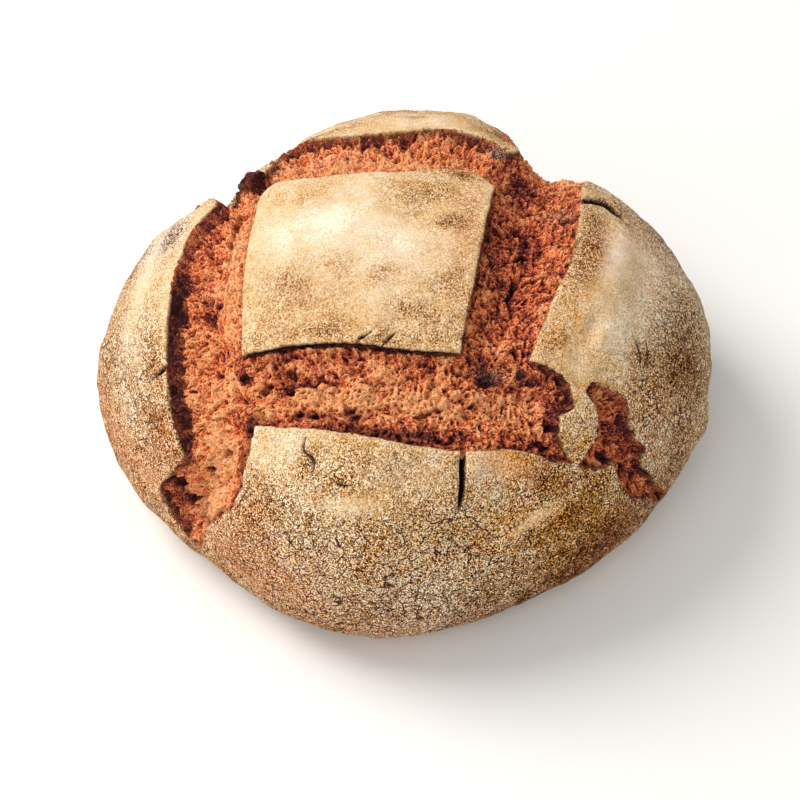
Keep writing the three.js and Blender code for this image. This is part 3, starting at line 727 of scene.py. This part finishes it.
# Tears along the cuts: the line, depth and half width.
TEARS = (
    (((-75, 32), (-76, 13), (-78, -2), (-81, -13), (-84, -21), (-85, -33), (-85, -42), (-84, -52)),
     2.6, 1.5),
    (((49, 8), (45, -10), (43, -20), (43, -30)), 4.6, 1.5),
    (((42, -36), (42, -44), (45, -52)), 3.0, 0.9),
    (((-60, -66), (-45, -64), (-28, -65), (-12, -66)), 1.6, 1.2),
    (((6, -80), (22, -76), (40, -78)), 1.8, 1.2),
)
# Flour that fell on the crumb.
DUST_PATCHES = (
    (0.7, -40, 66, 3, 6, 0.0), (0.6, -27, 63, 3, 4, 0.0), (0.6, -28, 49, 1.5, 4, 0.0),
    (0.4, 66, 28, 5, 6, 0.0), (0.4, -72, 4, 3, 8, 1.4), (0.3, -84, -8, 3, 8, 1.5),
    (0.5, 42, 66, 4, 5, 0.0), (0.3, 40, -62, 3, 10, 0.0), (0.4, -56, 66, 3, 6, 0.6),
)
# The crumb is made in four pieces, one for each stretch of the cuts.
STRETCHES = (
    ("crumb_left_cut", lambda u, v: u < LEFT_SIDE),
    ("crumb_front_cut", lambda u, v: (u >= LEFT_SIDE) & (v < FRONT_SIDE) & (u < TEAR_SIDE)),
    ("crumb_back_and_right_cuts", lambda u, v: (u >= LEFT_SIDE) & (v >= FRONT_SIDE)),
    ("crumb_side_tear", lambda u, v: (u >= TEAR_SIDE) & (v < FRONT_SIDE)),
)


def rank(face):
    """A number by height, row and place in the row, to sort faces alike in every run."""
    x, y, z = face.calc_center_median()
    return x + 1e3 * y + 1e6 * z


def crumb_slab(belongs):
    """A closed slab over the cells of the cuts, its top cut fine, flat on the map."""
    nu, nv = [round(span / CRUMB_CELL) for span in CRUMB_SPAN]
    bm = bmesh.new()
    size = Matrix.Diagonal((nu * CRUMB_CELL, nv * CRUMB_CELL, 1, 1))
    bmesh.ops.create_grid(bm, x_segments=nu, y_segments=nv, size=0.5,
                          matrix=Matrix.Translation((*CRUMB_MIDDLE, 0)) @ size)
    middles = np.array([f.calc_center_median()[:2] for f in bm.faces])
    reached = looked_up(middles, LATTICE_D) > -CRUMB_UNDER
    reached |= spread(middles, TORN_PATCHES) > 0.1
    keep = reached & belongs(middles[:, 0], middles[:, 1])
    away = [f for f, kept in zip(bm.faces, keep) if not kept]
    bmesh.ops.delete(bm, geom=away, context="FACES")
    made = bmesh.ops.extrude_face_region(bm, geom=bm.faces[:], use_keep_orig=True)
    for v in made["geom"]:
        if isinstance(v, bmesh.types.BMVert):
            v.co.z = -1.0
    bm.faces.sort(key=rank)  # the extruded sides come in any order
    top = [f for f in bm.faces if all(v.co.z == 0 for v in f.verts)]
    edges = list(dict.fromkeys(e for f in top for e in f.edges))
    bmesh.ops.subdivide_edges(bm, edges=edges, cuts=CRUMB_CUTS, use_grid_fill=True)
    bmesh.ops.recalc_face_normals(bm, faces=bm.faces)
    return bm


def make_crumb(name, belongs):
    bm = crumb_slab(belongs)
    flat = coordinates(bm)
    uv, lower = flat[:, :2].copy(), flat[:, 2] < -0.5
    d, _, near = cuts_at(uv)
    torn = torn_over(uv) * (d < 0.3)
    over = plate_height(uv, np.minimum(d, 0), near["lip"]) - 0.3
    base = crumb_height(uv, d, near) * (1 - torn) + over * torn
    n = skin_normal(uv)
    p3 = skin(uv) + n * base[:, None]
    bend = bends(p3, 2.4, 61)
    sway = bends(p3, 5.5, 65)
    q3 = p3 + 1.0 * bend + 1.6 * sway
    # crags and strings lie along the cuts
    across = smooth((np.abs(uv[:, 1] + 6) - 38) / 8)
    strings = across * ridges(q3 * (0.45, 1, 1), 2.6, 26)
    strings += (1 - across) * ridges(q3 * (1, 0.45, 1), 2.6, 27)
    open_share = np.maximum(0.35 + 0.65 * smooth((d + 0.8) / 2.2), 0.8 * torn)
    band = np.maximum(near["reach"], 0.4)
    # the crumb near a rim is coloured dark: baked, and painted shade where the rim shadows it
    toast_and_shade = near["toast_and_shade"] * (1 - smooth((d + 0.5 * bend[:, 0] - 0.75 * band) / (0.9 + 0.3 * band)))
    slow = 1.3 * grain(p3, 9.0, 21) + 1.4 * (ridges(q3, 5.2, 22) - 0.4)
    quick = 0.55 * strings + 0.45 * ridges(q3, 1.8, 23)
    quick += 0.8 * grain(q3, 1.0, 24) + 0.6 * grain(q3, 0.75, 28)
    big = pores(q3, 6.2, 31, 0.16)
    mid = pores(q3, 3.0, 41, 0.36)
    small = pores(q3, 1.5, 51, 0.8)
    pit = 1.8 * smooth(big * 1.5) + 1.3 * smooth(mid * 1.6) + 1.3 * smooth(small * 1.8)
    # painted shade: the pits, big pores and tears are coloured darker, as shadowed hollows
    painted_pit_shade = 0.45 * smooth(big * 2) + 0.6 * smooth(mid * 2) + 0.75 * smooth(small * 2.4)
    spikes = spread(uv, TATTERS) * 2.6 * np.maximum(grain(q3, 1.5, 25), 0) ** 1.5
    for cu, cv, radius, deep in BIG_PORES:
        away = (uv + 1.7 * bend[:, :2] - (cu, cv)) * (0.75, 1.2)
        hole = 1 - np.hypot(*away.T) / (radius * 1.1)
        pit += deep * 0.7 * smooth(hole * 1.8)
        painted_pit_shade += 1.1 * smooth(hole * 2.2)
    for at, deep, half in TEARS:
        far, _ = nearest(uv + 2.2 * bend[:, :2], curve(at))
        gap = np.exp(-((far / half) ** 2)) * smooth(0.45 + 1.7 * grain(p3, 6.0, 64))
        pit += deep * gap
        painted_pit_shade += gap
    # dark crumb patches: baked, and painted shade where they lie in shadow
    baked_and_shade = spread(uv, BAKED_AND_SHADE_PATCHES) * (1 + 0.5 * bend[:, 1] + 0.3 * quick)
    calm = 1 - 0.8 * spread(uv, CALM_PATCHES)
    relief = (slow + quick + spikes - pit) * open_share * calm
    height = np.maximum(base + relief, base - CRUMB_THICK * PIT_SHARE)
    points = skin(uv) + n * np.where(lower, base - CRUMB_THICK, height)[:, None]
    points[:, 2] = np.maximum(points[:, 2], CRUMB_LOWEST)
    tone_light_and_shade = 0.56 + spread(uv, TONE_LIGHT_AND_SHADE_PATCHES) + 0.2 * grain(q3, 6.5, 29)
    # painted light and shade: paler on the crests of the relief, darker in its hollows
    tone_light_and_shade += 0.11 * slow + 0.36 * quick
    marks = dict(
        pit=np.clip(0.85 * painted_pit_shade, 0, 1),
        tone_light_and_shade=np.clip(tone_light_and_shade, -0.1, 1.15),
        toast_and_shade=np.clip(np.maximum(toast_and_shade, 0.75 * torn) + baked_and_shade, 0, 1),
        dust=spread(uv, DUST_PATCHES),
    )
    return finished(bm, name, points, marks)


# ---- materials -----------------------------------------------------------------------------
# Sizes of the patterns, mm.
FLOUR_CLUMP = 0.4
CRUST_GRAIN = 0.8
BLOTCH = 6.0
CLOUD = 25.0
FLAKE = 5.5
FLAKE_BEND = 3.0
CRUMB_SPECK = 0.6
CRUMB_GRAIN = 0.55

# From bare crust to thick flour.
CRUST_STOPS = (
    (0.0, "#2E1209"), (0.16, "#65371B"), (0.32, "#986E44"), (0.46, "#CC9360"),
    (0.58, "#DDAE78"), (0.7, "#E2C28F"), (0.85, "#F3CFA9"), (1.0, "#F8EACC"),
)
BARE_CRUST = "#602F16"
RUSTY_TINT = "#FFD0BC"
# the dark end of a broken edge is baked crust and painted shade on rim walls that face away from the
# lamp
EDGE_PALE, EDGE_BAKED_AND_SHADE = "#A9693C", "#2B1613"
CRACK_BROWN = "#4A2417"
# From well baked crumb to crumb that tore last; the dark end also serves as painted shade and
# the pale end as painted light on the crests.
CRUMB_STOPS = (
    (0.0, "#33161F"), (0.18, "#582A30"), (0.38, "#8B4238"), (0.56, "#C45E40"),
    (0.74, "#F07C49"), (0.9, "#FF9558"), (1.0, "#FFB77E"),
)
CRUMB_GAP = "#521F24"
# painted shade in the crumb's pits
CRUMB_PIT_SHADE = "#381219"
# dark crumb beside the rims: baked dark, and painted shade by the rims that cast shadow
CRUMB_BURNT_AND_SHADE = "#321A1B"
FLOUR_DUST = "#E8CDB0"
TABLE_WHITE = "#F4F3F0"

# Places of a colour mix's sockets.
FIRST, SECOND, MIXED = 6, 7, 2


def colour(hex_code):
    """An sRGB hex value as linear red, green, blue and 1."""
    srgb = [int(hex_code[i:i + 2], 16) / 255 for i in (1, 3, 5)]
    return (*[c / 12.92 if c <= 0.04045 else ((c + 0.055) / 1.055) ** 2.4 for c in srgb], 1.0)


def per_metre(size):
    """How many marks of a pattern, size mm across, fit in a metre."""
    return 1 / (size * MM)


def node(tree, kind, links=None, stops=(), **settings):
    """Adds a node, sets its properties, colour stops and sockets, and links its inputs."""
    made = tree.nodes.new(kind)
    for key, value in settings.items():
        setattr(made, key, value)
    if stops:
        bar = made.color_ramp.elements
        bar[1].position = stops[1][0]
        for at, _ in stops[2:]:
            bar.new(at)
        for stop, (at, code) in zip(bar, stops):
            stop.position, stop.color = at, colour(code)
    for key, value in (links or {}).items():
        socket = made.inputs[key]
        if isinstance(value, bpy.types.NodeSocket):
            tree.links.new(value, socket)
        else:
            socket.default_value = value
    return made


def plain_material(name):
    material = bpy.data.materials.new(name)
    material.use_nodes = True
    material.node_tree.nodes.clear()
    return material, material.node_tree


def floured_crust():
    """Rye crust baked on the hearth under a dusting of flour: a matte brown skin, with cream
    grains that lie thick on top and thin out down the sides."""
    material, tree = plain_material("floured_rye_crust")
    place = node(tree, "ShaderNodeTexCoord").outputs["Object"]
    marks = {key: node(tree, "ShaderNodeAttribute", attribute_name=key).outputs["Fac"]
             for key in ("flour", "grit", "rust", "ash", "broken", "toast_and_shade")}
    flour = marks["flour"]
    # flour grains are 0.1 mm; they are drawn as the clumps that they gather into
    clump = node(tree, "ShaderNodeTexVoronoi", {"Vector": place, "Scale": per_metre(FLOUR_CLUMP)})
    fine = node(tree, "ShaderNodeTexNoise", {
        "Vector": place, "Scale": per_metre(CRUST_GRAIN), "Detail": 2.0,
        "Roughness": 0.8}).outputs["Fac"]
    blotch = node(tree, "ShaderNodeTexNoise", {
        "Vector": place, "Scale": per_metre(BLOTCH), "Detail": 4.0, "Roughness": 0.6}).outputs["Fac"]
    cloud = node(tree, "ShaderNodeTexNoise", {
        "Vector": place, "Scale": per_metre(CLOUD), "Detail": 3.0}).outputs["Fac"]
    speckled = node(tree, "ShaderNodeMath", {0: clump.outputs["Color"], 1: 1.9, 2: -1.4},
                    operation="MULTIPLY_ADD")
    middle = node(tree, "ShaderNodeMath", {0: fine, 1: 0.9, 2: speckled.outputs[0]},
                  operation="MULTIPLY_ADD")
    grainy = node(tree, "ShaderNodeMath", {0: middle.outputs[0], 1: marks["grit"]},
                  operation="MULTIPLY")
    uneven = node(tree, "ShaderNodeMath", {0: grainy.outputs[0], 1: 0.4, 2: flour},
                  operation="MULTIPLY_ADD")
    centred = node(tree, "ShaderNodeMath", {0: blotch, 1: 0.5}, operation="SUBTRACT")
    patchy = node(tree, "ShaderNodeMath", {0: marks["grit"], 1: 0.45, 2: 0.35},
                  operation="MULTIPLY_ADD")
    soft = node(tree, "ShaderNodeMath", {
        0: centred.outputs[0], 1: patchy.outputs[0], 2: uneven.outputs[0]},
        operation="MULTIPLY_ADD")
    cover = node(tree, "ShaderNodeMath", {0: cloud, 1: 0.4, 2: soft.outputs[0]},
                 operation="MULTIPLY_ADD")
    share = node(tree, "ShaderNodeMath", {0: cover.outputs[0], 1: 0.2}, operation="SUBTRACT")
    dusted = node(tree, "ShaderNodeValToRGB", {"Fac": share.outputs[0]},
                  stops=CRUST_STOPS).outputs["Color"]
    # the bare crust shows between the grains
    gap = node(tree, "ShaderNodeMapRange", {
        "Value": grainy.outputs[0], "From Min": -0.05, "From Max": -1.19,
        "To Min": 0.0, "To Max": 0.95}).outputs[0]
    between = node(tree, "ShaderNodeMix", {"Factor": gap, FIRST: dusted, SECOND: colour(BARE_CRUST)},
                   data_type="RGBA").outputs[MIXED]
    red = node(tree, "ShaderNodeMix", {
        "Factor": marks["rust"], FIRST: between, SECOND: colour(RUSTY_TINT)},
        data_type="RGBA", blend_type="MULTIPLY").outputs[MIXED]
    strength = node(tree, "ShaderNodeMath", {0: marks["ash"], 1: -0.22, 2: 1.04},
                    operation="MULTIPLY_ADD")
    # painted light and shade on the grains: lighter where the grain pattern is high, darker where it
    # is low, as if lit and shadowed
    bright = node(tree, "ShaderNodeMath", {0: grainy.outputs[0], 1: 0.23, 2: 1.0},
                  operation="MULTIPLY_ADD")
    grain_light_and_shade = node(tree, "ShaderNodeMath", {0: bright.outputs[0], 1: 0.25}, operation="MAXIMUM")
    toned = node(tree, "ShaderNodeHueSaturation", {
        "Saturation": strength.outputs[0], "Value": grain_light_and_shade.outputs[0], "Color": red}).outputs[0]
    # the broken edges from pale to dark: baked, and painted shade on rim walls that face away from
    # the lamp
    baked_and_shade = node(tree, "ShaderNodeMix", {
        "Factor": marks["toast_and_shade"], FIRST: colour(EDGE_PALE), SECOND: colour(EDGE_BAKED_AND_SHADE)},
        data_type="RGBA").outputs[MIXED]
    # the dry skin is crazed with cracks into flakes, bare of flour
    wander = node(tree, "ShaderNodeTexNoise", {
        "Vector": place, "Scale": per_metre(FLAKE_BEND)}).outputs["Color"]
    bent = node(tree, "ShaderNodeVectorMath", {0: wander, 1: [2 * MM] * 3, 2: place},
                operation="MULTIPLY_ADD").outputs[0]
    crazed = node(tree, "ShaderNodeTexVoronoi", {"Vector": bent, "Scale": per_metre(FLAKE)},
                  feature="DISTANCE_TO_EDGE").outputs["Distance"]
    line = node(tree, "ShaderNodeMapRange", {
        "Value": crazed, "From Min": 0.0, "From Max": 0.06, "To Min": 1.0, "To Max": 0.0}).outputs[0]
    some = node(tree, "ShaderNodeMapRange", {
        "Value": blotch, "From Min": 0.48, "From Max": 0.6, "To Min": 0.0, "To Max": 0.6}).outputs[0]
    bare = node(tree, "ShaderNodeMath", {0: marks["grit"], 1: some}, operation="MULTIPLY")
    crack = node(tree, "ShaderNodeMath", {0: line, 1: bare.outputs[0]},
                 operation="MULTIPLY", use_clamp=True)
    cracked = node(tree, "ShaderNodeMix", {
        "Factor": crack.outputs[0], FIRST: toned, SECOND: colour(CRACK_BROWN)},
        data_type="RGBA").outputs[MIXED]
    edge = node(tree, "ShaderNodeMix", {"Factor": marks["broken"], FIRST: cracked, SECOND: baked_and_shade},
                data_type="RGBA").outputs[MIXED]
    bump = node(tree, "ShaderNodeBump", {
        "Height": grainy.outputs[0], "Distance": 0.0004, "Strength": 1.0})
    shader = node(tree, "ShaderNodeBsdfPrincipled", {
        "Base Color": edge, "Roughness": 0.9, "Specular IOR Level": 0.05,
        "Normal": bump.outputs[0]})
    node(tree, "ShaderNodeOutputMaterial", {"Surface": shader.outputs[0]})
    return material


def torn_crumb():
    """Rye crumb torn open in the oven: reddish brown, spongy, paler where it tore last, with
    a slight moist gloss."""
    material, tree = plain_material("torn_rye_crumb")
    place = node(tree, "ShaderNodeTexCoord").outputs["Object"]
    marks = {key: node(tree, "ShaderNodeAttribute", attribute_name=key).outputs["Fac"]
             for key in ("pit", "tone_light_and_shade", "toast_and_shade", "dust")}
    speck = node(tree, "ShaderNodeTexNoise", {
        "Vector": place, "Scale": per_metre(CRUMB_SPECK), "Detail": 1.0,
        "Roughness": 0.8}).outputs["Fac"]
    crumbs = node(tree, "ShaderNodeTexVoronoi", {"Vector": place, "Scale": per_metre(CRUMB_GRAIN)})
    blotch = node(tree, "ShaderNodeTexNoise", {
        "Vector": place, "Scale": per_metre(BLOTCH), "Detail": 3.0}).outputs["Fac"]
    grit = node(tree, "ShaderNodeMath", {0: crumbs.outputs["Color"], 1: 1.1, 2: -2.05},
                operation="MULTIPLY_ADD")
    grains = node(tree, "ShaderNodeMath", {0: speck, 1: 3.0, 2: grit.outputs[0]},
                  operation="MULTIPLY_ADD")
    uneven = node(tree, "ShaderNodeMath", {0: grains.outputs[0], 1: 0.52, 2: marks["tone_light_and_shade"]},
                  operation="MULTIPLY_ADD")
    soft = node(tree, "ShaderNodeMath", {0: blotch, 1: 0.6, 2: uneven.outputs[0]},
                operation="MULTIPLY_ADD")
    # painted shade: the tone falls in the pits and tears and beside the darkened rims
    drop = node(tree, "ShaderNodeMath", {0: marks["toast_and_shade"], 1: -0.35, 2: -0.18},
                operation="MULTIPLY_ADD")
    sunk = node(tree, "ShaderNodeMath", {0: marks["pit"], 1: -0.5, 2: drop.outputs[0]},
                operation="MULTIPLY_ADD")
    share = node(tree, "ShaderNodeMath", {0: soft.outputs[0], 1: sunk.outputs[0]}, operation="ADD")
    fresh = node(tree, "ShaderNodeValToRGB", {"Fac": share.outputs[0]},
                 stops=CRUMB_STOPS).outputs["Color"]
    # dark red shows in the fine gaps between the crumbs
    gap = node(tree, "ShaderNodeMapRange", {
        "Value": grains.outputs[0], "From Min": -0.14, "From Max": -1.15,
        "To Min": 0.0, "To Max": 0.97}).outputs[0]
    between = node(tree, "ShaderNodeMix", {"Factor": gap, FIRST: fresh, SECOND: colour(CRUMB_GAP)},
                   data_type="RGBA").outputs[MIXED]
    # painted shade in the pits and tears
    painted_pit_shade = node(tree, "ShaderNodeMath", {0: marks["pit"], 1: 0.6}, operation="MULTIPLY").outputs[0]
    deep = node(tree, "ShaderNodeMix", {
        "Factor": painted_pit_shade, FIRST: between, SECOND: colour(CRUMB_PIT_SHADE)},
        data_type="RGBA").outputs[MIXED]
    # the crumb beside the rims: baked dark, with painted shade where a rim shadows it
    burnt = node(tree, "ShaderNodeMath", {0: marks["toast_and_shade"], 1: 0.75}, operation="MULTIPLY")
    dark = node(tree, "ShaderNodeMix", {
        "Factor": burnt.outputs[0], FIRST: deep, SECOND: colour(CRUMB_BURNT_AND_SHADE)},
        data_type="RGBA").outputs[MIXED]
    dusty = node(tree, "ShaderNodeMapRange", {
        "Value": speck, "From Min": 0.45, "From Max": 0.6, "To Min": 0.0, "To Max": 1.0}).outputs[0]
    lying = node(tree, "ShaderNodeMath", {0: dusty, 1: marks["dust"]}, operation="MULTIPLY")
    floured = node(tree, "ShaderNodeMix", {
        "Factor": lying.outputs[0], FIRST: dark, SECOND: colour(FLOUR_DUST)},
        data_type="RGBA").outputs[MIXED]
    bump = node(tree, "ShaderNodeBump", {"Height": speck, "Distance": 0.001, "Strength": 1.0})
    shader = node(tree, "ShaderNodeBsdfPrincipled", {
        "Base Color": floured, "Roughness": 0.6, "Specular IOR Level": 0.05,
        "Normal": bump.outputs[0]})
    node(tree, "ShaderNodeOutputMaterial", {"Surface": shader.outputs[0]})
    return material


# ---- the scene -----------------------------------------------------------------------------
CAMERA_RISE = 52.0  # over the horizon, degrees
CAMERA_FAR = 780.0  # mm
CAMERA_AIM = (-2.4, -24.5, 40.0)  # mm
SENSOR = 36.0  # mm
FRAME_WIDTH = 800  # pixels
FOCAL_LENGTH = 1950  # pixels
LAMP_AIM = (0, 0, 0.05)  # metres
# Name, place and width in metres, watts, tint.
LAMPS = (
    ("window", (-1.1, 0.5, 1.3), 1.1, 28.0, (1.0, 0.97, 0.94)),
    ("reflector", (-0.6, -1.3, 0.9), 1.6, 8.0, (1.0, 0.98, 0.96)),
)
ROOM_LIGHT = 0.55


def make_floor():
    bm = bmesh.new()
    bmesh.ops.create_grid(bm, x_segments=1, y_segments=1, size=3.0)
    mesh = bpy.data.meshes.new("floor")
    bm.to_mesh(mesh)
    bm.free()
    floor = bpy.data.objects.new("floor", mesh)
    bpy.context.collection.objects.link(floor)
    material, tree = plain_material("matte_white_paint")
    shader = node(tree, "ShaderNodeBsdfPrincipled", {
        "Base Color": colour(TABLE_WHITE), "Roughness": 0.9})
    node(tree, "ShaderNodeOutputMaterial", {"Surface": shader.outputs[0]})
    mesh.materials.append(material)


def aimed(name, data, place, target):
    thing = bpy.data.objects.new(name, data)
    bpy.context.collection.objects.link(thing)
    thing.location = place
    thing.rotation_euler = (Vector(target) - Vector(place)).to_track_quat("-Z", "Y").to_euler()
    return thing


def make_camera():
    rise = math.radians(CAMERA_RISE)
    target = Vector(CAMERA_AIM) * MM
    place = target + Vector((0, -math.cos(rise), math.sin(rise))) * CAMERA_FAR * MM
    data = bpy.data.cameras.new("camera")
    data.lens, data.sensor_width = SENSOR * FOCAL_LENGTH / FRAME_WIDTH, SENSOR
    data.clip_start = 0.01
    bpy.context.scene.camera = aimed("camera", data, place, target)


def make_light():
    for name, place, size, watts, tint in LAMPS:
        data = bpy.data.lights.new(name, "AREA")
        data.shape, data.size, data.energy, data.color = "DISK", size, watts, tint
        aimed(name, data, place, LAMP_AIM)
    world = bpy.data.worlds.new("studio")
    world.use_nodes = True
    sky = world.node_tree.nodes["Background"].inputs
    sky["Color"].default_value = (1, 1, 1, 1)
    sky["Strength"].default_value = ROOM_LIGHT
    bpy.context.scene.world = world
    bpy.context.scene.view_settings.view_transform = "Standard"


make_camera()
make_light()
make_floor()
make_crust().data.materials.append(floured_crust())
crumb_finish = torn_crumb()
for stretch, belongs in STRETCHES:
    make_crumb(stretch, belongs).data.materials.append(crumb_finish)
